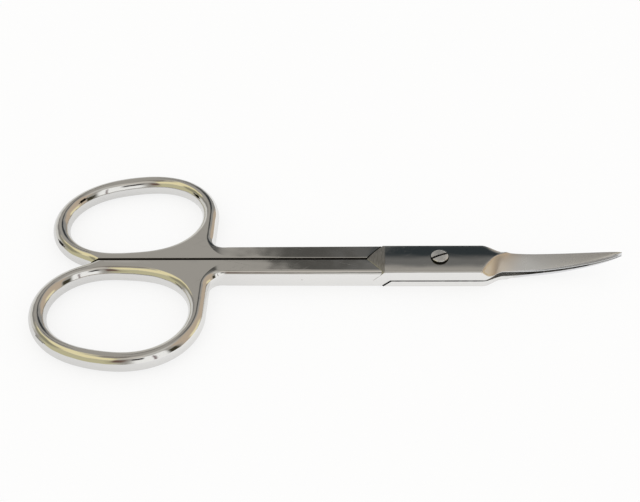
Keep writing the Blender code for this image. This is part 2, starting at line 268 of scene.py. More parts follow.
def blended(first, second, share):
    return [(mix(a[0], b[0], share), mix(a[1], b[1], share)) for a, b in zip(first, second)]


def outer_plan():
    """The handle's outer edge, anticlockwise: round the ring, up the neck and along the shank."""
    forward = ring_angles(-math.pi / 4, math.pi / 4)
    rightmost = max(forward, key=lambda angle: ring_point(angle, HALF_RING).x)
    plan = []
    for angle in ring_angles(WEB_START, rightmost + 2 * math.pi):
        swell = WEB_SWELL * ease(angle, WEB_SWELL_FROM, WEB_SWELL_TO)
        plan.append((ring_point(angle, HALF_RING + swell), round_profile()))
    neck = plan[-1][0].x
    centre = Vector((neck + NECK_FILLET, -SHANK_SIDE_AT_NECK - NECK_FILLET))
    for step in range(1, NECK_STEPS + 1):
        turn = math.pi - math.pi / 2 * step / NECK_STEPS
        point = centre + NECK_FILLET * Vector((math.cos(turn), math.sin(turn)))
        plan.append((point, blended(round_profile(), bar_profile(), ease(point.x, neck, centre.x))))
    end = -LAP_BACK / 2
    for along in (-ARROW_TIP, end):
        share = (along - centre.x) / (-LAP_BACK - centre.x)
        aside = mix(SHANK_SIDE_AT_NECK, HALF_LAP - LAP_SIDE_STEP, share)
        plan.append((Vector((along, -aside)), bar_profile()))
    plan.append((Vector((end, SPARE)), wall_profile()))
    normals = inward_normals([point for point, _ in plan])
    normals[-2] = Vector((0.0, 1.0))
    normals[-1] = Vector((0.0, -1.0))
    return [(point, normal, profile) for (point, profile), normal in zip(plan, normals)]


def finger_hole_plan():
    points = [ring_point(angle, -HALF_RING) for angle in ring_turn[:-1]]
    return [(point, -normal, round_profile()) for point, normal in zip(points, inward_normals(points))]


print("points round a handle:", len(outer_plan()), "and round its finger hole:", len(finger_hole_plan()))

# %% [markdown]
# The sections become a skin, and the flats between the outer edge and the finger hole are filled. Planes
# then cut what a wheel and a file cut on the real one: the side along the parting line, its rounded
# corners and the stop face. A plane that closes its own cut keeps the body closed for later Booleans.

# %% Skin and cuts
CUT_SNAP = 1e-6  # millimetres; points nearer to a cutting plane than this count as on it


def skin_edge(bm, plan):
    """Faces round one edge of the handle, from its lower flat to its upper flat. Returns both rims."""
    rows = []
    for level in range(len(plan[0][2])):
        row = []
        for point, normal, profile in plan:
            inset, height = profile[level]
            flat = point + normal * inset
            row.append(bm.verts.new((flat.x, flat.y, height)))
        rows.append(row)
    for below, above in zip(rows, rows[1:]):
        for index in range(len(plan)):
            bm.faces.new((below[index - 1], below[index], above[index], above[index - 1]))
    return rows[0], rows[-1]


def cut_away(bm, point, normal):
    """Removes what lies on the normal's side of a plane, and closes the cut."""
    everything = bm.verts[:] + bm.edges[:] + bm.faces[:]
    cut = bmesh.ops.bisect_plane(
        bm, geom=everything, dist=CUT_SNAP, plane_co=point, plane_no=normal, clear_outer=True
    )
    edges = [item for item in cut["geom_cut"] if isinstance(item, bmesh.types.BMEdge)]
    bmesh.ops.edgeloop_fill(bm, edges=edges)


def round_parting_edge(bm, rounding, side, cuts):
    """Rounds the edge along the parting line, on the upper side or the lower, as flats round an arc."""
    middle = Vector((0.0, -PARTING_GAP / 2 - rounding, side * (HALF_THICKNESS - rounding)))
    for step in range(1, cuts):
        turn = math.pi / 2 * step / cuts
        outward = Vector((0.0, math.cos(turn), side * math.sin(turn)))
        cut_away(bm, middle + rounding * outward, outward)


print("cuts snap within", CUT_SNAP, "mm")

# %% Handle mesh
PARTING_CUTS = 9
BREAK_CUTS = 4


def handle_mesh():
    """Ring, web and shank in one closed body, up to the stop face under the lap."""
    bm = bmesh.new()
    outer = skin_edge(bm, outer_plan())
    hole = skin_edge(bm, finger_hole_plan())
    for rims in zip(outer, hole):
        edges = [bm.edges.get((rim[index - 1], rim[index])) for rim in rims for index in range(len(rim))]
        bmesh.ops.triangle_fill(bm, edges=edges, use_beauty=True)
    bmesh.ops.recalc_face_normals(bm, faces=bm.faces[:])
    cut_away(bm, (0.0, -PARTING_GAP / 2, 0.0), (0.0, 1.0, 0.0))
    round_parting_edge(bm, PARTING_ROUND, -1, PARTING_CUTS)
    round_parting_edge(bm, PARTING_BREAK, 1, BREAK_CUTS)
    cut_away(bm, (-ARROW_TIP, 0.0, -HALF_THICKNESS), (1.0, ARROW_SPREAD, -STOP_SLOPE))
    bmesh.ops.recalc_face_normals(bm, faces=bm.faces[:])
    return bm


trial = handle_mesh()
print("handle:", len(trial.faces), "faces, closed:", all(edge.is_manifold for edge in trial.edges))
trial.free()

# %% [markdown]
# Lap and blade follow a rule: at each distance from the pivot the section has a set width, wall, crown
# and hollow, and both inner faces lie on one surface swept round the pivot axis. A rule suits Geometry
# Nodes: a plain cylinder is bent to it, point by point, and the same tree makes both halves. To keep the
# rule readable, a small class lets node sockets be added and multiplied like numbers.

# %% Expressions on node sockets
class Socket:
    """One output of a node. Arithmetic on it adds Math nodes to its tree."""

    def __init__(self, flow, end):
        self.flow = flow
        self.end = end

    def __add__(self, other):
        return self.flow.math("ADD", self, other)

    def __radd__(self, other):
        return self.flow.math("ADD", other, self)

    def __sub__(self, other):
        return self.flow.math("SUBTRACT", self, other)

    def __rsub__(self, other):
        return self.flow.math("SUBTRACT", other, self)

    def __mul__(self, other):
        return self.flow.math("MULTIPLY", self, other)

    def __rmul__(self, other):
        return self.flow.math("MULTIPLY", other, self)

    def __truediv__(self, other):
        return self.flow.math("DIVIDE", self, other)

    def __rtruediv__(self, other):
        return self.flow.math("DIVIDE", other, self)

    def __pow__(self, other):
        return self.flow.math("POWER", self, other)


print("a socket takes + - * / and **")

# %% A node tree written as expressions
class Flow:
    """A node tree, with one method that makes any node and a few for the ones used most."""

    def __init__(self, tree):
        self.tree = tree

    def node(self, kind, settings=None, values=None, output=0):
        """Any node: its settings first, then the values or links of its sockets. Gives one output."""
        made = self.tree.nodes.new(kind)
        for name, value in (settings or {}).items():
            setattr(made, name, value)
        for name, value in (values or {}).items():
            if isinstance(value, Socket):
                self.tree.links.new(value.end, made.inputs[name])
            else:
                made.inputs[name].default_value = value
        return Socket(self, made.outputs[output]) if made.outputs else None

    def math(self, operation, first, second=0.0):
        return self.node("ShaderNodeMath", {"operation": operation}, {0: first, 1: second})

    def ramp(self, value, start, end, to_start=0.0, to_end=1.0, smooth=False):
        """A straight or S-shaped way from to_start, where value is start, to to_end, where it is end."""
        kind = {"interpolation_type": "SMOOTHSTEP" if smooth else "LINEAR"}
        ends = {"From Min": start, "From Max": end, "To Min": to_start, "To Max": to_end}
        return self.node("ShaderNodeMapRange", kind, {"Value": value, **ends})

    def mix(self, first, second, share):
        return first + (second - first) * share

    def paint(self, first, second, share):
        """A colour between two others, each of them a socket or (red, green, blue)."""
        ends = [(*colour, 1.0) if isinstance(colour, tuple) else colour for colour in (first, second)]
        return self.node("ShaderNodeMix", {"data_type": "RGBA"}, {0: share, 6: ends[0], 7: ends[1]}, 2)

    def axes(self, vector):
        return [self.node("ShaderNodeSeparateXYZ", None, {"Vector": vector}, axis) for axis in range(3)]


print("helpers of a node tree:", [name for name in vars(Flow) if not name.startswith("_")])

# %% [markdown]
# The cylinder needs its points where the shape turns quickly: round the corners of the section, where the
# lap folds down to its arrow, and where the ground face runs out. Even spacing would spend them on the
# long flats, so the spans along the blade come in groups, each with its own stretch to cover.

# %% Section points and stations of the loft
INNER_POINTS = 17
ROUND_POINTS = 7
FACE_POINTS = 49
AROUND = INNER_POINTS + ROUND_POINTS + FACE_POINTS + ROUND_POINTS
FOLD = 0.12  # half the length over which the lap folds down to its arrow
LEAD = 0.8  # how far behind the lap's front the close spans begin
STATIONS = [  # (spans, where the last of them ends)
    (4, -LAP_BACK - FOLD), (2, -LAP_BACK + FOLD), (18, LAP_FRONT - LEAD), (36, RUNOUT_BACK),
]
BLADE_SPANS = 40
ALONG = sum(spans for spans, _ in STATIONS) + BLADE_SPANS
print("the loft has", AROUND, "points round it and", ALONG, "spans along it")

# %% [markdown]
# The rule says, for each place along the scissors, how wide the steel is, how high the surface lies on
# which the blades meet, how far each inner face is cut back from it, and how high the outer face stands.
# Drawn sections could say the same, but only at a few places, and polished steel shows what lies between.

# %% Geometry Nodes: stations, widths and inner faces
BEVEL_LEFT = 0.4  # the share of the cutting bevel that a blade of no width would keep


def station_place(flow, station):
    """Where each ring of points lies along the blade, close together where the shape turns quickly."""
    place = -ARROW_TIP - SPARE
    passed = 0
    start = place
    for spans, end in STATIONS:
        place = place + flow.ramp(station, passed, passed + spans, 0.0, end - start)
        passed += spans
        start = end
    turn = flow.ramp(station, passed, ALONG, 0.0, math.pi / 2)
    return place + flow.math("SINE", turn) * (BLADE_TIP - start)


def half_width(flow, x):
    along = flow.ramp(x, BLADE_ROOT, BLADE_TIP)
    fullness = (1 - along**3) ** BLADE_FULLNESS
    blade = flow.math("MAXIMUM", (1 - along * BLADE_TAPER) * fullness * (BLADE_WIDTH / 2), TIP_WIDTH / 2)
    return flow.mix(HALF_LAP, blade, flow.ramp(x, LAP_FRONT, BLADE_ROOT, smooth=True))


def cutting_bevel(flow, x):
    growing = flow.ramp(x, BLADE_ROOT, BLADE_TIP, BEVEL_AT_ROOT, BEVEL_AT_TIP, smooth=True)
    return growing * flow.math("MINIMUM", half_width(flow, x) * (2 / BLADE_WIDTH) + BEVEL_LEFT, 1.0)


def inner_height(flow, x, y, turned):
    """The surface that both blades meet on, swept round the pivot axis."""
    reach = flow.math("SQRT", x * x + y * y)
    beyond = flow.math("MAXIMUM", reach - SWEEP_START, 0.0)
    return turned * (beyond * beyond / (2 * SWEEP_RADIUS) - PARTING_DROP) + LAYER_GAP / 2


def relief(flow, x):
    """How far the inner face is cut back, so that closed blades press together at the tip alone."""
    begin = flow.ramp(x, RELIEF_START, RELIEF_DEEPEST, smooth=True)
    fade = flow.ramp(x, RELIEF_DEEPEST, RELIEF_END, 1.0, 0.0, smooth=True)
    along = flow.ramp(x, RELIEF_DEEPEST, BLADE_TIP)
    return begin * (fade * RELIEF + (1 - along * along) * BOW)


rise = (BLADE_TIP - SWEEP_START)**2 / (2 * SWEEP_RADIUS)
print("the blades sweep up by", round(rise, 2), "mm")

# %% Geometry Nodes: the outer face
def outer_height(flow, x, share, sizes):
    """The outer face: a crowned lap, and a blade whose ground face curves up into it along a ridge."""
    hump = share * (1 - share) * 4  # 0 at both sides of the face and 1 in its middle
    crowned = flow.math("MINIMUM", sizes["Wall"] + sizes["Crown"] * hump, sizes["Ground"])
    middle = flow.math("MINIMUM", sizes["Wall"] + sizes["Crown"], sizes["Ground"])
    fall = (middle - HALF_THICKNESS) / ARROW_LENGTH
    lap = crowned + fall * flow.math("MINIMUM", x + LAP_BACK, 0.0)
    along = flow.ramp(x, BLADE_ROOT, BLADE_TIP)
    spine = sizes["Spine"] * (1 - along * along * SPINE_THINNING)
    edge = relief(flow, x) + cutting_bevel(flow, x) + EDGE_LAND
    root = flow.math("MAXIMUM", x, BLADE_ROOT)
    blade = inner_height(flow, root, 0.0, sizes["Turned"])
    blade = blade + flow.mix(edge, spine, share) + hump * FACE_CROWN
    thick_back = share * flow.ramp(x, LAP_FRONT, SPINE_RUNOUT, 1.0, 0.0, smooth=True)
    behind = flow.math("MAXIMUM", flow.mix(RUNOUT_EDGE, RUNOUT_BACK, share) - x, 0.0)
    ground = flow.mix(blade, lap, thick_back) + behind * behind * RUNOUT_CURVE
    lower_of = {"operation": "SMOOTH_MIN"}
    met = flow.node("ShaderNodeMath", lower_of, {0: lap, 1: ground, 2: RUNOUT_ROUND})
    return flow.mix(met, ground, flow.ramp(x, RUNOUT_BACK, SPINE_RUNOUT))


print("the ground face runs out from", RUNOUT_EDGE, "to", RUNOUT_BACK, "mm in front of the pivot")

# %% [markdown]
# A section is one closed loop of points: along the inner face, round the back, over the outer face and
# down to the cutting edge. On the lap that last corner is rounded for the fingers. On the blade it is the
# cutting bevel, so the two are mixed by how far the blade has begun.

# %% Geometry Nodes: the section
MOST_ROUNDED = 0.4  # the share of the lap's side that its rounding may take at most


def section_place(flow, x, around, sizes):
    """(y, z) of a point of the section: inner face, back, outer face, cutting edge, in that order.

    A corner takes no more than a third or a quarter of its side, so that the narrow tip keeps its form.
    """
    bladed = flow.ramp(x, LAP_FRONT, BLADE_ROOT, smooth=True)
    along = flow.ramp(x, BLADE_ROOT, BLADE_TIP)
    back = half_width(flow, x)
    edge = bladed * (1 - along * along) * EDGE_SETBACK - back
    inner_share = flow.ramp(around, 1, INNER_POINTS - 2)
    at_first = 1 - flow.math("MINIMUM", around, 1.0)
    at_last = flow.ramp(around, INNER_POINTS - 2, INNER_POINTS - 1)
    edge_break = flow.mix(SEAM_BREAK, KEEN, bladed)
    back_break = flow.math("MINIMUM", back / 4, SEAM_BREAK)
    inner_y = flow.mix(edge + edge_break, back - back_break, inner_share)
    inner_y = inner_y - at_first * edge_break + at_last * back_break
    hollow = bladed * (1 - along) * inner_share * (1 - inner_share) * (4 * HOLLOW)
    inner_z = inner_height(flow, x, inner_y, sizes["Turned"]) + relief(flow, x) + hollow
    inner_z = inner_z + at_first * edge_break + at_last * back_break
    corner = flow.math("MINIMUM", back / 3, EDGE_ROUND)
    shoulder = flow.mix(LAP_ROUND, cutting_bevel(flow, x), bladed)
    shoulder = flow.math("MINIMUM", shoulder, (back - edge) / 3)
    first_face = INNER_POINTS + ROUND_POINTS
    last_face = first_face + FACE_POINTS - 1
    share = flow.ramp(around, first_face, last_face, 1.0, 0.0)
    face_y = flow.mix(edge + shoulder, back - corner, share)
    face_z = outer_height(flow, x, share, sizes)
    back_turn = flow.ramp(around, INNER_POINTS, first_face, math.pi / 2, 0.0)
    edge_turn = flow.ramp(around, last_face, AROUND - 1, 0.0, math.pi / 2)
    back_y = flow.math("SINE", back_turn) * corner
    back_z = (1 - flow.math("COSINE", back_turn)) * corner
    land = flow.math("MINIMUM", around - last_face, ROUND_POINTS) / ROUND_POINTS
    land = flow.math("MAXIMUM", land, 0.0)
    first_inner = inner_height(flow, x, edge, sizes["Turned"]) + relief(flow, x)
    rounding = flow.math("MINIMUM", (face_z - first_inner) * MOST_ROUNDED, LAP_ROUND)
    lap_drop = (1 - flow.math("COSINE", edge_turn)) * rounding
    blade_drop = (face_z - first_inner - EDGE_LAND) * land
    lap_aside = flow.math("SINE", edge_turn) * shoulder
    edge_y = flow.mix(lap_aside, shoulder * land, bladed)
    outer_y = face_y + back_y - edge_y
    outer_z = face_z - back_z - flow.mix(lap_drop, blade_drop, bladed)
    outside = flow.ramp(around, INNER_POINTS - 1, INNER_POINTS)
    return flow.mix(inner_y, outer_y, outside), flow.mix(inner_z, outer_z, outside)


print("points on the inner face, a corner and the outer face:", INNER_POINTS, ROUND_POINTS, FACE_POINTS)

# %% [markdown]
# The tree starts from a cylinder, numbers its points, and sends each one to its place in its section. The
# few sizes in which the halves differ are its inputs, so that one tree serves both. Its end makes the
# result real and gives it its steel, and each half is then read off as a plain mesh.

# %% Geometry Nodes: the tree
def declare_sizes(flow, names):
    for name in names:
        flow.tree.interface.new_socket(name, in_out="INPUT", socket_type="NodeSocketFloat")
    return {name: flow.node("NodeGroupInput", None, None, name) for name in names}


def loft_tree():
    tree = bpy.data.node_groups.new("lap_and_blade", "GeometryNodeTree")
    flow = Flow(tree)
    sizes = declare_sizes(flow, ("Turned", "Wall", "Crown", "Ground", "Spine"))
    tree.interface.new_socket("Steel", in_out="INPUT", socket_type="NodeSocketMaterial")
    tree.interface.new_socket("Shape", in_out="OUTPUT", socket_type="NodeSocketGeometry")
    tube = flow.node("GeometryNodeMeshCylinder", {"fill_type": "NGON"},
                     {"Vertices": AROUND, "Side Segments": ALONG, "Radius": 1.0, "Depth": 2.0})
    index = flow.node("GeometryNodeInputIndex")
    around = flow.math("MODULO", index, AROUND)
    station = flow.math("FLOOR", (index + 0.5) / AROUND)
    x = station_place(flow, station)
    y, z = section_place(flow, x, around, sizes)
    place = flow.node("ShaderNodeCombineXYZ", None, {"X": x, "Y": y, "Z": z})
    bent = flow.node("GeometryNodeSetPosition", None, {"Geometry": tube, "Position": place})
    real = flow.node("GeometryNodeRealizeInstances", None, {"Geometry": bent})
    steel = flow.node("NodeGroupInput", None, None, "Steel")
    coated = flow.node("GeometryNodeSetMaterial", None, {"Geometry": real, "Material": steel})
    flow.node("NodeGroupOutput", None, {"Shape": coated})
    return tree


loft = loft_tree()
print("loft tree:", len(loft.nodes), "nodes")

# %% [markdown]
# What differs between the two halves is small: how high each wall and crown stands, how far the face is
# ground down, and how thick the blade's back is. The lower half is the same drawing turned over about
# the long axis, as the real pair comes from two nearly equal forgings.

# %% The two halves
HALVES = {
    "upper_half": {"Turned": 1.0, "Wall": 1.56, "Crown": 0.3, "Ground": 1.86, "Spine": 1.42},
    "lower_half": {"Turned": -1.0, "Wall": 1.52, "Crown": 0.2, "Ground": BELLY, "Spine": 0.7},
}
print("blade backs:", {name: sizes["Spine"] for name, sizes in HALVES.items()}, "mm thick at the root")


def plain_object(name, mesh):
    made = bpy.data.objects.new(name, mesh)
    bpy.context.scene.collection.objects.link(made)
    return made


def evaluated_mesh(source, name):
    """The object's mesh with its modifiers applied, as a new plain mesh."""
    graph = bpy.context.evaluated_depsgraph_get()
    graph.update()
    mesh = bpy.data.meshes.new_from_object(source.evaluated_get(graph), depsgraph=graph)
    mesh.name = name
    return mesh


def loft_mesh(name, sizes):
    """Runs the tree for one half, and returns a plain mesh with its arrow cut at the back end."""
    carrier = plain_object(f"{name}.loft", bpy.data.meshes.new(f"{name}.loft"))
    modifier = carrier.modifiers.new("loft", "NODES")
    modifier.node_group = loft
    sockets = {item.name: item.identifier for item in loft.interface.items_tree if item.in_out == "INPUT"}
    for label, value in sizes.items():
        modifier[sockets[label]] = value
    modifier[sockets["Steel"]] = polished_steel
    mesh = evaluated_mesh(carrier, f"{name}.lap")
    bpy.data.objects.remove(carrier)
    bm = bmesh.new()
    bm.from_mesh(mesh)
    bmesh.ops.recalc_face_normals(bm, faces=bm.faces[:])
    step = Vector((-ARROW_TIP + STEP_AHEAD, 0.0, HALF_THICKNESS))
    cut_away(bm, step, (-1.0, -STEP_SPREAD, STEP_SLOPE))
    arrow = Vector((-ARROW_TIP + STOP_GAP, 0.0, HALF_THICKNESS))
    cut_away(bm, arrow, (-1.0, ARROW_SPREAD, -STOP_SLOPE))
    bmesh.ops.recalc_face_normals(bm, faces=bm.faces[:])
    bm.to_mesh(mesh)
    print(name, "loft:", len(bm.faces), "faces, closed:", all(edge.is_manifold for edge in bm.edges))
    bm.free()
    return mesh


# %% [markdown]
# Holes and the screw are turned parts, so each is a profile of radius and height spun about the axis.
# The screw's head sits in a shallow recess, and its far end is riveted over, flush with the belly.

# %% Sizes of the screw and its hole
HEAD_RADIUS = 1.3
HEAD_TOP = 2.35
HEAD_HEIGHT = 0.9
HEAD_DOME = 0.12
SLOT_WIDTH = 0.34
SLOT_DEPTH = 0.35
SLOT_TURN = math.radians(24)
SHANK_RADIUS = 0.8
PEEN_RADIUS = 1.05
PEEN_HEIGHT = 0.4
SCREW_CLEARANCE = 0.04
RECESS_CLEARANCE = 0.1
HEAD_RIM = 0.09
DOME_STEPS = 8
RIM_STEPS = 5
ROUND_SIDES = 128
SEAT_HEIGHT = HEAD_TOP - HEAD_HEIGHT
HIGH = 3.0  # well above and below both halves
POLE_MERGE = 1e-4  # millimetres; spun points nearer to each other than this are one


def turned_mesh(profile, sides):
    """A solid of revolution about the pivot, from (radius, height) points that start and end on it."""
    bm = bmesh.new()
    chain = [bm.verts.new((radius, 0.0, height)) for radius, height in profile]
    edges = [bm.edges.new(pair) for pair in zip(chain, chain[1:])]
    bmesh.ops.spin(bm, geom=chain + edges, axis=(0.0, 0.0, 1.0), cent=(0.0, 0.0, 0.0),
                   steps=sides, angle=2 * math.pi, use_merge=True)
    bmesh.ops.remove_doubles(bm, verts=bm.verts[:], dist=POLE_MERGE)
    bmesh.ops.recalc_face_normals(bm, faces=bm.faces[:])
    return bm


def hole_profile(name):
    bore = SHANK_RADIUS + SCREW_CLEARANCE
    if name == "upper_half":
        recess = HEAD_RADIUS + RECESS_CLEARANCE
        seat = SEAT_HEIGHT - LAYER_GAP
        return [(0.0, HIGH), (recess, HIGH), (recess, seat), (bore, seat), (bore, -HIGH), (0.0, -HIGH)]
    flare = PEEN_RADIUS + SCREW_CLEARANCE
    ends = [(flare, -BELLY), (flare, -HIGH), (0.0, -HIGH)]
    return [(0.0, HIGH), (bore, HIGH), (bore, PEEN_HEIGHT - BELLY)] + ends


print("the screw's seat is", round(SEAT_HEIGHT, 2), "mm above the middle of the handles")

# %% [markdown]
# A half is one forging: its handle and its lap are joined by a Boolean, and the hole is cut through.
# Weighted normals then let the large flats rule the shading, so that they stay flat in reflections.

# %% Joining and shading
CREASE = math.radians(30)
FLAT_WEIGHT = 90  # 50 is even, and above it the large faces count for more


def boolean(body, tool_mesh, operation):
    tool = plain_object(f"{body.name}.tool", tool_mesh)
    modifier = body.modifiers.new(operation, "BOOLEAN")
    modifier.object = tool
    modifier.operation = operation
    modifier.solver = "EXACT"
    mesh = evaluated_mesh(body, body.name)
    body.modifiers.clear()
    body.data = mesh
    bpy.data.objects.remove(tool)


def settle(mesh, turned):
    """From the drawing's millimetres to metres in the frame, turned over for the lower half."""
    turn = Matrix.Rotation(math.pi, 4, "X") if turned < 0 else Matrix.Identity(4)
    mesh.transform(Matrix.Translation(pivot) @ Matrix.Scale(MM, 4) @ turn)


def shade(body):
    """Smooth surfaces between crisp edges, with the largest faces deciding each normal."""
    body.data.shade_smooth()
    body.data.set_sharp_from_angle(angle=CREASE)
    modifier = body.modifiers.new("weights", "WEIGHTED_NORMAL")
    modifier.keep_sharp = True
    modifier.weight = FLAT_WEIGHT
    body.data = evaluated_mesh(body, body.data.name)
    body.modifiers.clear()


print("edges sharper than", round(math.degrees(CREASE)), "degrees stay crisp")

# %% [markdown]
# One forging shows several finishes, each from its own tool: polished handles and lap, a satin blade
# face, ground inner flats, a milled arrow, and gaps that no tool reaches. They could be painted by hand.
# A rule on each face's place and direction does it here, and follows every change of the shape.

# %% Which finish each face has
POLISHED, SATIN, GROUND, MILLED, UNPOLISHED, SEAM = range(6)
SAME_WAY = 0.995  # a face lies along a cut where the cosine of the angle between them is above this
MOUTH = 0.45  # how far sideways a rounding leans where the polishing wheel no longer reaches it
ENDWAYS = 0.1  # what lines the parting gap leans less than this towards either end
STEEP = 0.5  # a wall's normal rises or falls less than this, and that of an inner face falls more
BROKEN = (0.6, 0.8)  # a corner broken at 45 degrees leans between these
INNER_LOWEST = -1.0  # inner faces lie above this height, and the belly lies below it
FOLD_LEAN = 0.05  # the arrow's top leans back more than this,
FOLD_RISE = 0.9  # and still faces up more than this
FACE_RISE = 0.3  # a blade's outer face looks up more than this,
FACE_START = LAP_FRONT - 0.5  # lies in front of this place,
RIDGE_LEAN = 0.12  # and leans forward more than this,
GROUND_DEPTH = 0.03  # unless it lies this far below the top of the lap


def faces_along(normal, direction):
    return normal.dot(Vector(direction).normalized()) > SAME_WAY


def unpolished_place(centre, normal):
    """Inside a gap or a hole, where no tool reaches after the first cut."""
    stop = faces_along(normal, (1.0, ARROW_SPREAD, -STOP_SLOPE))
    arrow = faces_along(normal, (-1.0, ARROW_SPREAD, -STOP_SLOPE))
    beside_gap = normal.y > MOUTH and abs(centre.y + PARTING_GAP / 2) < PARTING_ROUND
    in_hole = Vector((centre.x, centre.y)).length < HEAD_RADIUS + RECESS_CLEARANCE
    parting = beside_gap and abs(normal.x) < ENDWAYS
    return stop or arrow or parting or (in_hole and abs(normal.z) < STEEP)


def finish_of(half, centre, normal):
    """Which finish a face of a half has, from its place and direction in the drawing."""
    if unpolished_place(centre, normal):
        return UNPOLISHED
    inside = centre.x > -ARROW_TIP - SPARE and centre.z > INNER_LOWEST
    if inside and abs(normal.y) > BROKEN[0] and -BROKEN[1] < normal.z < -BROKEN[0]:
        return SEAM
    if inside and normal.z < -STEEP:
        return GROUND
    on_arrow = -ARROW_TIP < centre.x < -LAP_BACK and normal.x < -FOLD_LEAN and normal.z > FOLD_RISE
    if on_arrow or faces_along(normal, (-1.0, -STEP_SPREAD, STEP_SLOPE)):
        return MILLED
    below_lap = centre.z < min(half["Wall"], half["Ground"]) - GROUND_DEPTH
    on_face = normal.z > FACE_RISE and centre.x > FACE_START and (normal.x > RIDGE_LEAN or below_lap)
    return SATIN if on_face or centre.x > RUNOUT_BACK else POLISHED


blade_middle = Vector((mix(BLADE_ROOT, BLADE_TIP, 0.5), 0.0, HALF_THICKNESS))
upwards = Vector((0.0, 0.0, 1.0))
print("a blade's top is satin:", finish_of(HALVES["upper_half"], blade_middle, upwards) == SATIN)

# %% One half as a finished mesh
def build_half(name, sizes):
    handle = handle_mesh()
    mesh = bpy.data.meshes.new(name)
    handle.to_mesh(mesh)
    handle.free()
    body = plain_object(f"{name}_steel", mesh)
    boolean(body, loft_mesh(name, sizes), "UNION")
    hole = bpy.data.meshes.new(f"{name}.hole")
    profile = hole_profile(name)
    if sizes["Turned"] < 0:
        profile = [(radius, -height) for radius, height in profile]
    turned_mesh(profile, ROUND_SIDES).to_mesh(hole)
    boolean(body, hole, "DIFFERENCE")
    body.data.materials.clear()
    for material in HALF_FINISHES:
        body.data.materials.append(material)
    for face in body.data.polygons:
        face.material_index = finish_of(sizes, face.center, face.normal)
    settle(body.data, sizes["Turned"])
    shade(body)
    return body


print("ready to build", " and ".join(HALVES))

# %% [markdown]
# The screw is one spun profile: a low dome with a rounded rim, a shank and the end that is riveted over.
# A box cuts the slot, as a saw does. The finishes differ too: turned on top, sawn on the slot's sides,
# and painted shade on the slot's floor and where the head stands beside its recess.

# %% The screw
TURNED, SHADED, SAWN = range(3)
NEAR = 0.01  # millimetres within which a face lies on a level
UPRIGHT = 0.3  # an upright face's normal rises or falls less than this


def screw_mesh():
    """Domed head with a rounded rim, shank, and the end that is riveted over."""
    base = -BELLY + LAYER_GAP / 2
    flat = HEAD_RADIUS - HEAD_RIM
    profile = []
    for step in range(DOME_STEPS + 1):
        radius = flat * step / DOME_STEPS
        profile.append((radius, HEAD_TOP - HEAD_DOME * (radius / HEAD_RADIUS)**2))
    shoulder = profile[-1][1] - HEAD_RIM
    for step in range(1, RIM_STEPS + 1):
        turn = math.pi / 2 * step / RIM_STEPS
        profile.append((flat + HEAD_RIM * math.sin(turn), shoulder + HEAD_RIM * math.cos(turn)))
    profile += [(HEAD_RADIUS, SEAT_HEIGHT), (SHANK_RADIUS, SEAT_HEIGHT)]
    profile += [(SHANK_RADIUS, base + PEEN_HEIGHT), (PEEN_RADIUS, base), (0.0, base)]
    return turned_mesh(profile, ROUND_SIDES)


def slot_mesh():
    bm = bmesh.new()
    bmesh.ops.create_cube(bm, size=1.0)
    bmesh.ops.scale(bm, vec=(4 * HEAD_RADIUS, SLOT_WIDTH, 2 * SLOT_DEPTH), verts=bm.verts[:])
    bmesh.ops.rotate(bm, matrix=Matrix.Rotation(SLOT_TURN, 3, "Z"), verts=bm.verts[:])
    bmesh.ops.translate(bm, vec=(0.0, 0.0, HEAD_TOP), verts=bm.verts[:])
    return bm


def build_screw():
    mesh = bpy.data.meshes.new("screw")
    screw_mesh().to_mesh(mesh)
    body = plain_object("slotted_screw", mesh)
    slot = bpy.data.meshes.new("slot")
    slot_mesh().to_mesh(slot)
    boolean(body, slot, "DIFFERENCE")
    body.data.materials.clear()
    for material in (screw_steel, unpolished_shaded_steel, ground_steel):
        body.data.materials.append(material)
    slot_floor = HEAD_TOP - SLOT_DEPTH
    for face in body.data.polygons:
        if face.center.z > SEAT_HEIGHT + NEAR and abs(face.normal.z) < UPRIGHT:
            in_slot = Vector((face.center.x, face.center.y)).length < HEAD_RADIUS - HEAD_RIM
            # the head's side above its recess gets painted shade
            face.material_index = SAWN if in_slot else SHADED
        elif abs(face.center.z - slot_floor) < NEAR:
            # the slot's floor gets painted shade too
            face.material_index = SHADED
        else:
            face.material_index = TURNED
    settle(body.data, 1)
    shade(body)
    return body


print("screw:", round(HEAD_TOP + BELLY - LAYER_GAP / 2, 2), "mm long, head", 2 * HEAD_RADIUS, "mm wide")

# %% [markdown]
# The steel is mirror-polished, so most of what the camera sees is the room. The metal itself brings the
# fine things: a slow waviness from polishing by hand, hair-thin scratches, haze where fingers touch it
# and a few dark specks. Each pattern is a noise on the piece's own place in millimetres, because a noise
# needs no unwrapping and keeps its real size on every face. Heights are millimetres for the Bump node.

# %% Patterns on steel
def new_material(name):
    material = bpy.data.materials.new(name)
    material.use_nodes = True
    material.node_tree.nodes.clear()
    return material, Flow(material.node_tree)


def coat(material, flow, colour, roughness, height, metallic=1.0):
    """Ends a metal's tree: its colour, its roughness and the height of its surface in millimetres."""
    bump = flow.node("ShaderNodeBump", None, {"Strength": 1.0, "Distance": MM, "Height": height})
    values = {"Base Color": colour, "Metallic": metallic, "Roughness": roughness, "Normal": bump}
    shader = flow.node("ShaderNodeBsdfPrincipled", None, values)
    flow.node("ShaderNodeOutputMaterial", None, {"Surface": shader})
    print("finish:", material.name, "with", len(flow.tree.nodes), "nodes")
    return material


def new_steel(name):
    """A material, its tree, and where a point is, in millimetres from the pivot, as in the drawings."""
    material, flow = new_material(name)
    place = flow.node("ShaderNodeTexCoord", None, None, "Object")
    values = {"Vector": place, "Location": -pivot / MM, "Scale": (1 / MM,) * 3}
    return material, flow, flow.node("ShaderNodeMapping", None, values)


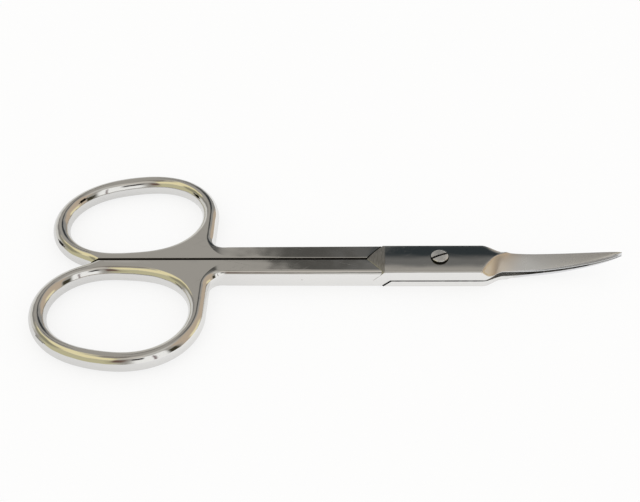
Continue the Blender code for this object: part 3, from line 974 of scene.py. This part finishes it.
def noise(flow, place, per_mm, detail, turn=0.0):
    """Noise with this many bumps to the millimetre along each axis, after a turn about Z."""
    turned = flow.node("ShaderNodeMapping", None, {"Vector": place, "Rotation": (0.0, 0.0, turn)})
    sized = flow.node("ShaderNodeVectorMath", {"operation": "MULTIPLY"}, {0: turned, 1: per_mm})
    return flow.node("ShaderNodeTexNoise", None, {"Vector": sized, "Scale": 1.0, "Detail": detail})


def varied(pattern, least, added):
    """A number that follows a pattern: least where the pattern is 0, and this much more where it is 1."""
    return pattern * added + least


print("one millimetre is", MM, "in the frame")

# %% Scratches, waves, haze and specks
SCRATCH_TURNS = (math.radians(17), math.radians(-38))
SCRATCH_DEPTH = 0.0012
GRAIN_HEIGHT = 0.0012
SPECK = (0.16, 0.13, 0.1)
SPECK_SHARE = 0.8


def scratches(flow, place):
    """Sparse hair-thin lines, in two directions: 1 on a line, 0 beside it."""
    lines = [noise(flow, place, per_mm=(0.12, 9.0, 9.0), detail=1.0, turn=turn) for turn in SCRATCH_TURNS]
    return flow.ramp(flow.math("MAXIMUM", *lines), start=0.7, end=0.76)


def waves(flow, place):
    """The slow unevenness of a surface that was polished by hand."""
    return noise(flow, place, per_mm=(0.22, 0.4, 0.4), detail=1.0)


def haze(flow, place):
    """Cloudy patches, as fingers leave them."""
    return flow.ramp(noise(flow, place, per_mm=(0.16, 0.16, 0.16), detail=4.0), start=0.4, end=0.7)


def speckled(flow, place, steel):
    """The metal's colour with a few dark specks."""
    specks = flow.ramp(noise(flow, place, per_mm=(1.3, 1.3, 1.3), detail=1.0), start=0.82, end=0.84)
    return flow.paint(steel, SPECK, specks * SPECK_SHARE)


print("scratches lie", [round(math.degrees(turn)) for turn in SCRATCH_TURNS], "degrees off the long axis")

# %% Polished steel
STEEL = (0.8, 0.793, 0.778)
WAVE_HEIGHT = 0.055  # on shanks and lap; the rings, which are polished freehand, are wavier
RING_WAVE = 0.12
RINGS_FROM = -RING_BACK + RING_RADIUS + 4.0  # the waves grow from here, in the web,
RINGS_FULL = RINGS_FROM - 6.0  # to here
POLISHED_BLUR = 0.055
SCRATCH_BLUR = 0.1
HAZE_BLUR = 0.05


def polished():
    """Mirror-bright, as on handle and lap."""
    material, flow, place = new_steel("polished_steel")
    on_ring = flow.ramp(flow.axes(place)[0], RINGS_FROM, RINGS_FULL, smooth=True)
    fine = scratches(flow, place)
    height = waves(flow, place) * flow.mix(WAVE_HEIGHT, RING_WAVE, on_ring) - fine * SCRATCH_DEPTH
    roughness = haze(flow, place) * HAZE_BLUR + fine * SCRATCH_BLUR + POLISHED_BLUR
    return coat(material, flow, speckled(flow, place, STEEL), roughness, height)


polished_steel = polished()

# %% [markdown]
# A blade's face is cut by a grinding wheel that crosses it, so its lines run across the blade: a noise
# that is fine along it and long across it. It stays a satin that blurs the room without hiding it. At the
# root the wheel lifts off, which leaves a rougher patch, and a warm reflection is painted into its
# colour.

# %% Satin of the blades
BLADE_STEEL = (0.745, 0.75, 0.765)
# a warm reflection painted into the steel's colour at the root, fading out towards the blade
PAINTED_WARM_STEEL = (0.77, 0.7, 0.62)
PAINTED_WARM_END = RUNOUT_BACK + 1.5
SATIN_BLUR = (0.3, 0.2)  # at the root, and from there on
SATIN_HAZE = 0.04
SATIN_WAVE = WAVE_HEIGHT * 0.3
GRAIN_BLUR = 0.08


def satin():
    material, flow, place = new_steel("satin_steel")
    grain = noise(flow, place, per_mm=(9.0, 0.5, 0.5), detail=2.0)
    wavy = waves(flow, place) * SATIN_WAVE
    height = wavy - scratches(flow, place) * SCRATCH_DEPTH + grain * GRAIN_HEIGHT
    x = flow.axes(place)[0]
    blur = flow.ramp(x, BLADE_ROOT, SPINE_RUNOUT, *SATIN_BLUR, smooth=True)
    roughness = grain * GRAIN_BLUR + haze(flow, place) * SATIN_HAZE + blur
    # the warm tint at the root is a painted reflection, not a colour of the steel
    steel = flow.paint(PAINTED_WARM_STEEL, BLADE_STEEL, flow.ramp(x, RUNOUT_EDGE, PAINTED_WARM_END, smooth=True))
    return coat(material, flow, speckled(flow, place, steel), roughness, height)


satin_steel = satin()

# %% [markdown]
# Not every face is polished. The flats that slide on each other are left as ground, with fine lines. The
# arrow and the step behind it keep the matt cut of a milling cutter. The faces inside the gaps are never
# reached by a wheel, and painted shade darkens them, most of all near the mouth of a gap. This painted
# shade draws the line between the shanks, the gap along the arrow and the seam under the lap black.

# %% Colours of ground steel and of painted shade in gaps
GROUND_STEEL = (0.6, 0.595, 0.58)
# the next colour is painted shade, for the gaps and the seam
GAP_SHADE = (0.02, 0.018, 0.016)
DULL_STEEL = (0.3, 0.295, 0.285)
print("steel, from ground to oily:", GROUND_STEEL[0], DULL_STEEL[0], GAP_SHADE[0])

# %% Ground and milled steel
STAIN_SHARE = 0.7
MILLED_DULLNESS = 1.4  # past 1, so that the deepest marks are dull all over
MARK_HEIGHT = 0.002


def ground():
    material, flow, place = new_steel("ground_steel")
    grain = noise(flow, place, per_mm=(8.0, 0.4, 0.4), detail=3.0)
    stain = flow.ramp(noise(flow, place, per_mm=(0.4, 0.4, 0.4), detail=3.0), start=0.45, end=0.75)
    colour = flow.paint(GROUND_STEEL, DULL_STEEL, stain * STAIN_SHARE)
    return coat(material, flow, colour, varied(grain, least=0.22, added=0.12), grain * GRAIN_HEIGHT * 2)


def milled():
    """The matt cut of a milling cutter, on the arrow behind the lap and on the step behind that."""
    material, flow, place = new_steel("milled_steel")
    marks = noise(flow, place, per_mm=(6.0, 1.0, 6.0), detail=3.0)
    colour = flow.paint(GROUND_STEEL, DULL_STEEL, marks * MILLED_DULLNESS)
    return coat(material, flow, colour, varied(marks, least=0.3, added=0.15), marks * MARK_HEIGHT)


ground_steel = ground()
milled_steel = milled()

# %% Painted shade in gaps
MOUTH_DEPTH = (0.4, 0.9)  # the painted shade is full from here outwards, measured from the handles' middle
SCALE_HEIGHT = 0.004
LESS_SHADE_FROM = (-5.9, -4.9)  # the seam's painted shade is lighter along a stretch that starts between these,
LESS_SHADE_TO = (-0.4, 0.8)  # and ends between these
LESS_SHADE_SHARE = 0.8


def unpolished():
    material, flow, place = new_steel("unpolished_shaded_steel")
    x, _, z = flow.axes(place)
    mouth_shade = flow.ramp(flow.math("ABSOLUTE", z), *MOUTH_DEPTH, smooth=True)
    joint_shade = flow.ramp(x, -ARROW_TIP - 1.0, -ARROW_TIP, smooth=True)
    rough = noise(flow, place, per_mm=(2.0, 5.0, 5.0), detail=3.0)
    patchy = flow.ramp(rough, start=0.2, end=0.45, to_start=0.75, to_end=1.0)
    # painted shade: darkest near the mouth of a gap and all through the joint, and blotchy
    colour = flow.paint(DULL_STEEL, GAP_SHADE, flow.math("MAXIMUM", mouth_shade, joint_shade) * patchy)
    return coat(material, flow, colour, varied(rough, least=0.32, added=0.2), rough * SCALE_HEIGHT)


def seam():
    material, flow, place = new_steel("shaded_seam")
    x = flow.axes(place)[0]
    less_shade = flow.ramp(x, *LESS_SHADE_FROM, smooth=True) * flow.ramp(x, *LESS_SHADE_TO, 1.0, 0.0, smooth=True)
    shade_blots = noise(flow, place, per_mm=(0.9, 0.9, 0.9), detail=3.0)
    patchy = flow.ramp(shade_blots, start=0.35, end=0.6, to_start=0.6, to_end=1.0)
    painted_shade = (1 - less_shade * LESS_SHADE_SHARE) * patchy
    # painted shade along the seam, patchy, and lighter along one stretch
    colour = flow.paint(STEEL, GAP_SHADE, painted_shade)
    return coat(material, flow, colour, varied(painted_shade, least=0.1, added=0.3), patchy * MARK_HEIGHT)


unpolished_shaded_steel = unpolished()
shaded_seam = seam()
HALF_FINISHES = (polished_steel, satin_steel, ground_steel, milled_steel, unpolished_shaded_steel, shaded_seam)

# %% [markdown]
# The screw is turned on a lathe, so its head keeps faint rings round its own axis. The noise there runs
# on one number alone, the distance from the axis, which gives rings of uneven depth.

# %% Screw steel
SCREW_STEEL = (0.74, 0.735, 0.72)
RING_DEPTH = 0.004
SCREW_METAL = 0.72  # the rest is the grey film on an unpolished head, which scatters light
WORN_SHARE = 0.5


def turned_steel():
    material, flow, place = new_steel("screw_steel")
    x, y, _ = flow.axes(place)
    radius = flow.math("SQRT", x * x + y * y)
    rings = flow.node("ShaderNodeTexNoise", {"noise_dimensions": "1D"},
                      {"W": radius, "Scale": 6.0, "Detail": 2.0})
    worn = flow.ramp(noise(flow, place, per_mm=(1.5, 1.5, 1.5), detail=3.0), start=0.4, end=0.7)
    colour = flow.paint(SCREW_STEEL, DULL_STEEL, worn * WORN_SHARE)
    height = rings * RING_DEPTH - scratches(flow, place) * SCRATCH_DEPTH
    return coat(material, flow, colour, varied(worn, least=0.26, added=0.12), height, SCREW_METAL)


screw_steel = turned_steel()

# %% [markdown]
# The drawings are turned into pieces now. Each half and the screw replaces its own solid and rides on
# the body that carries that solid: the screw is riveted into the lower half, and the upper half turns on
# it. The other way would be to dress the solids as they are, but their facets show in polished steel.

# %% The pieces, each on its own body
upper = build_half("upper_half", HALVES["upper_half"])
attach(upper, "upper")
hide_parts("upper_half")
lower = build_half("lower_half", HALVES["lower_half"])
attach(lower, "lower")
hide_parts("lower_half")
screw = build_screw()
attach(screw, "lower")
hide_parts("pivot_screw")
for piece in (upper, lower, screw):
    counts = [0] * len(piece.data.materials)
    for face in piece.data.polygons:
        counts[face.material_index] += 1
    finishes = [material.name for material in piece.data.materials]
    print(piece.name, "faces by finish:", dict(zip(finishes, counts)))

# %% [markdown]
# The scissors lie on a white table. A quarter of its white is paint, which takes their shadow, and the
# rest is a glow that only the camera and reflections see, so that the table is white without extra light.

# %% Table
TABLE_REACH = 3.0  # metres from its middle to each side
TABLE_PAINT = 0.25
SHADY_SIDE = (-0.04, 0.0)  # the table grows lighter over this stretch of X, as reflections show it
SHADY_GLOW = 0.78


def white_table():
    mesh = bpy.data.meshes.new("table")
    bm = bmesh.new()
    bmesh.ops.create_grid(bm, x_segments=1, y_segments=1, size=TABLE_REACH)
    bm.to_mesh(mesh)
    bm.free()
    table = plain_object("table", mesh)
    material, flow = new_material("white_table")
    camera_ray = flow.node("ShaderNodeLightPath", None, None, "Is Camera Ray")
    glossy_ray = flow.node("ShaderNodeLightPath", None, None, "Is Glossy Ray")
    across = flow.axes(flow.node("ShaderNodeTexCoord", None, None, "Object"))[0]
    mirrored = glossy_ray * flow.ramp(across, *SHADY_SIDE, SHADY_GLOW, 1.0, smooth=True)
    seen = flow.math("MAXIMUM", camera_ray, mirrored)
    paint = flow.node("ShaderNodeBsdfDiffuse", None, {"Color": (TABLE_PAINT,) * 3 + (1.0,)})
    glow = flow.node("ShaderNodeEmission", None, {"Strength": seen * (1 - TABLE_PAINT)})
    both = flow.node("ShaderNodeAddShader", None, {0: paint, 1: glow})
    flow.node("ShaderNodeOutputMaterial", None, {"Surface": both})
    mesh.materials.append(material)
    table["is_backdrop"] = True
    print("table:", len(mesh.polygons), "face")
    return table


table = white_table()

# %% [markdown]
# Polished steel shows its surroundings, so the world holds what would stand round such a table: a pale
# wall, warm curtains, a dark doorway behind, a window and the camera. A panorama would do the same, but
# each thing here is one soft-edged card of directions, which is easy to move and to name. Plain surfaces
# are lit by an even white instead, so that no card tints them.

# %% World
ROOM_LEVEL = 0.91
CEILING = (0.415, 0.395, 0.36)
EVEN_WHITE = (1.0, 1.0, 1.0)
CARDS = [  # name, colour, (middle and half width round from +Y, softness), (lowest, highest, softness)
    ("pale wall", (0.78, 0.77, 0.73), (-48, 30, 8), (-20, 26, 6)),
    ("curtain foot", (0.62, 0.58, 0.37), (-130, 36, 8), (-20, 38, 5)),
    ("curtain", (0.97, 0.87, 0.53), (-103, 56, 8), (41, 68, 4)),
    ("olive sill", (0.34, 0.32, 0.22), (-84, 22, 7), (26, 49, 4)),
    ("grey sill", (0.28, 0.27, 0.25), (-46, 16, 6), (27, 40, 4)),
    ("left beam", (0.1, 0.08, 0.065), (-130, 13, 5), (69, 79, 3)),
    ("right beam", (0.16, 0.11, 0.08), (-68, 11, 5), (71, 83, 3)),
    ("bright ceiling", (0.62, 0.605, 0.565), (120, 62, 14), (66, 86, 6)),
    ("far wall", (0.33, 0.325, 0.31), (20, 26, 6), (-25, 38, 6)),
    ("hall", (0.175, 0.172, 0.165), (4, 10, 2), (20, 62, 5)),
    ("doorway", (0.036, 0.044, 0.048), (7, 6.5, 1), (18, 44, 7)),
    ("door frame", (0.095, 0.092, 0.084), (-4, 3, 2), (34, 58, 6)),
    ("beige wall", (0.59, 0.485, 0.375), (71, 38, 6), (-15, 66, 6)),
    ("lamp shade", (0.97, 0.87, 0.56), (77, 16, 5), (-14, 20, 7)),
    ("shelf", (0.055, 0.05, 0.03), (123, 11, 4), (-20, 38, 6)),
    ("window", (1.08, 1.08, 1.06), (156, 24, 6), (-20, 60, 6)),
    ("window bar", (0.3, 0.25, 0.25), (149, 2, 1.5), (-20, 50, 6)),
    ("glow", (0.68, 0.64, 0.58), (-172, 20, 8), (58, 78, 5)),
    ("dark stand", (0.17, 0.11, 0.09), (-166, 6, 3), (20, 46, 5)),
    ("camera", (0.05, 0.045, 0.04), (175, 7, 3), (34, 52, 4)),
]


def card_share(flow, side, height, across, upward):
    """1 inside a card, in degrees round from +Y and above the table, and 0 outside it."""
    middle, half, soft = across
    away = flow.math("PINGPONG", side - middle, 180.0)
    share = flow.ramp(away, half - soft, half + soft, 1.0, 0.0, smooth=True)
    low, high, soft = upward
    share = share * flow.ramp(height, low - soft, low + soft, smooth=True)
    return share * flow.ramp(height, high - soft, high + soft, 1.0, 0.0, smooth=True)


def room():
    world = bpy.data.worlds.new("room")
    bpy.context.scene.world = world
    world.use_nodes = True
    world.node_tree.nodes.clear()
    flow = Flow(world.node_tree)
    x, y, z = flow.axes(flow.node("ShaderNodeTexCoord"))
    height = flow.math("ARCSINE", z) * math.degrees(1)
    side = flow.math("ARCTAN2", x, y) * math.degrees(1)
    colour = CEILING
    for _, paint, across, upward in CARDS:
        colour = flow.paint(colour, paint, card_share(flow, side, height, across, upward))
    camera_ray = flow.node("ShaderNodeLightPath", None, None, "Is Camera Ray")
    diffuse_ray = flow.node("ShaderNodeLightPath", None, None, "Is Diffuse Ray")
    plain = flow.math("MAXIMUM", camera_ray, diffuse_ray)
    colour = flow.paint(colour, EVEN_WHITE, plain)
    strength = flow.mix(ROOM_LEVEL, 1.0, plain)
    glow = flow.node("ShaderNodeBackground", None, {"Color": colour, "Strength": strength})
    flow.node("ShaderNodeOutputWorld", None, {"Surface": glow})
    print("room with", len(CARDS), "cards")


room()

# %% [markdown]
# The photograph's perspective was solved from the outline of the rings, shanks and blades: a camera
# about 17 cm away, 44 degrees above the table and turned a few degrees.

# %% Camera
PICTURE_WIDTH = 640
FOCAL_PIXELS = 1100.0
SENSOR = 36.0  # millimetres
CAMERA_TARGET = Vector((-18.549, 3.368, 0.0))  # millimetres from the pivot, at the handles' middle
CAMERA_DISTANCE = 173.45
CAMERA_TURN = 0.0577  # radians, and so are the next two
CAMERA_RISE = 0.7729
CAMERA_ROLL = -0.0426


def place_camera():
    data = bpy.data.cameras.new("camera")
    data.sensor_width = SENSOR
    data.lens = FOCAL_PIXELS * SENSOR / PICTURE_WIDTH
    data.clip_start = MM
    camera = plain_object("camera", data)
    level = math.cos(CAMERA_RISE)
    back = Vector((math.sin(CAMERA_TURN) * level, -math.cos(CAMERA_TURN) * level, math.sin(CAMERA_RISE)))
    right = Vector((math.cos(CAMERA_TURN), math.sin(CAMERA_TURN), 0.0))
    up = back.cross(right)
    rolled = right * math.cos(CAMERA_ROLL) + up * math.sin(CAMERA_ROLL)
    upright = up * math.cos(CAMERA_ROLL) - right * math.sin(CAMERA_ROLL)
    matrix = Matrix((rolled, upright, back)).transposed().to_4x4()
    matrix.translation = pivot + (CAMERA_TARGET + back * CAMERA_DISTANCE) * MM
    camera.matrix_world = matrix
    bpy.context.scene.camera = camera


place_camera()
bpy.context.scene.view_settings.view_transform = "Standard"
print("camera at", [round(value, 4) for value in bpy.context.scene.camera.location])

# %% [markdown]
# Last, the box round the dressed pair is set beside the box round its solids. They should agree, because
# looks are only a surface: a finish that reached past its solid would promise a size that nobody made.

# %% Sizes of both models, and the end
shown_low, shown_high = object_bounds()
below = [low - shown for low, shown in zip(cad_low, shown_low)]
above = [shown - high for high, shown in zip(cad_high, shown_high)]
print("the dressed pair reaches at most", round(max(below + above) / MM, 4), "mm past its solids")
